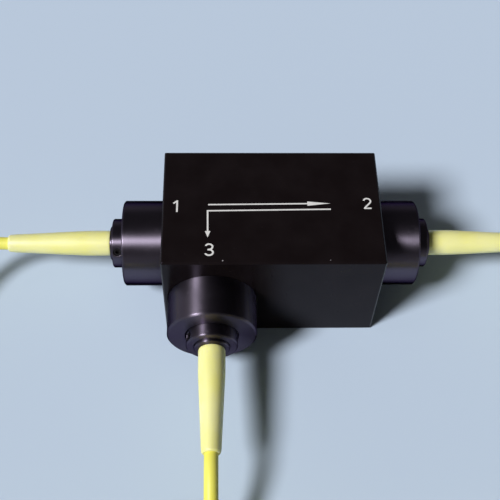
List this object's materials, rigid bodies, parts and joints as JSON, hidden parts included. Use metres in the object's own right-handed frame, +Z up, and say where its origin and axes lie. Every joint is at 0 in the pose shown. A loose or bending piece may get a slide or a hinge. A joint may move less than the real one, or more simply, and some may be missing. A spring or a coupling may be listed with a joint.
{
  "type": "fiber optic circulator",
  "caption": "Fibre optic circulator: a black block with collimator ports at both ends and at the front, yellow boots, and pigtails that end in connectors with turning nuts.",
  "frame": {"origin": "middle of the block's base face, which rests on the floor", "axes": "+X from the left port to the right port, -Y out of the front port, +Z up"},
  "size_m": [0.159, 0.1235, 0.0288],
  "materials": {
    "black_anodised": "satin black anodised, fine machining marks",
    "steel": "turned stainless",
    "black_steel": "black oxide",
    "nickel": "nickel plated brass",
    "magnet": "nickel plated",
    "sleeve_brass": "turned",
    "optical_glass": "polished, coated",
    "crystal": "polished",
    "ceramic": "polished zirconia",
    "seal_rubber": "matte",
    "yellow_boot": "smooth satin, pale yellow",
    "yellow_jacket": "smooth jacket",
    "tie": "matte"
  },
  "bodies": {
    "root": {"housing": "black_anodised", "tilt_screws": "black_steel", "lock_screws": "black_steel", "hub_set_screws": "black_steel", "prism_entry": "optical_glass", "prism_exit": "optical_glass", "cube_cradle": "steel", "faraday_magnet": "magnet", "faraday_crystal": "crystal", "crystal_sleeve": "sleeve_brass", "half_wave_plate": "optical_glass", "wave_plate_cell": "black_anodised", "port_cover_1": "black_anodised", "port_cover_2": "black_anodised", "port_cover_3": "black_anodised", "tilt_flange_1": "black_anodised", "tilt_flange_2": "black_anodised", "tilt_flange_3": "black_anodised", "seal_ring_1": "seal_rubber", "seal_ring_2": "seal_rubber", "seal_ring_3": "seal_rubber", "collimator_tube_1": "black_anodised", "collimator_tube_2": "black_anodised", "collimator_tube_3": "black_anodised", "lens_1": "optical_glass", "lens_2": "optical_glass", "lens_3": "optical_glass", "ferrule_1": "ceramic", "ferrule_2": "ceramic", "ferrule_3": "ceramic", "ferrule_holder_1": "steel", "ferrule_holder_2": "steel", "ferrule_holder_3": "steel", "boot_1": "yellow_boot", "boot_2": "yellow_boot", "boot_3": "yellow_boot", "cable_1": "yellow_jacket", "cable_2": "yellow_jacket", "cable_3": "yellow_jacket", "coil_1": "yellow_jacket", "coil_2": "yellow_jacket", "coil_3": "yellow_jacket", "coil_tie_1": "tie", "coil_tie_2": "tie", "coil_tie_3": "tie", "connector_boot_1": "yellow_boot", "connector_boot_2": "yellow_boot", "connector_boot_3": "yellow_boot", "connector_body_1": "nickel", "connector_body_2": "nickel", "connector_body_3": "nickel", "connector_ferrule_1": "ceramic", "connector_ferrule_2": "ceramic", "connector_ferrule_3": "ceramic"},
    "nut_1": {"coupling_nut_1": "nickel"},
    "nut_2": {"coupling_nut_2": "nickel"},
    "nut_3": {"coupling_nut_3": "nickel"}
  },
  "joints": [
    {"name": "nut_1_spin", "type": "hinge", "parent": "root", "child": "nut_1", "pos_m": [-0.015, -0.1005, 0.0148], "axis": [1, 0, 0], "continuous": true},
    {"name": "nut_2_spin", "type": "hinge", "parent": "root", "child": "nut_2", "pos_m": [0.015, -0.1005, 0.0148], "axis": [-1, 0, 0], "continuous": true},
    {"name": "nut_3_spin", "type": "hinge", "parent": "root", "child": "nut_3", "pos_m": [-0.033, -0.0735, 0.0148], "axis": [-1, 0, 0], "continuous": true}
  ]
}
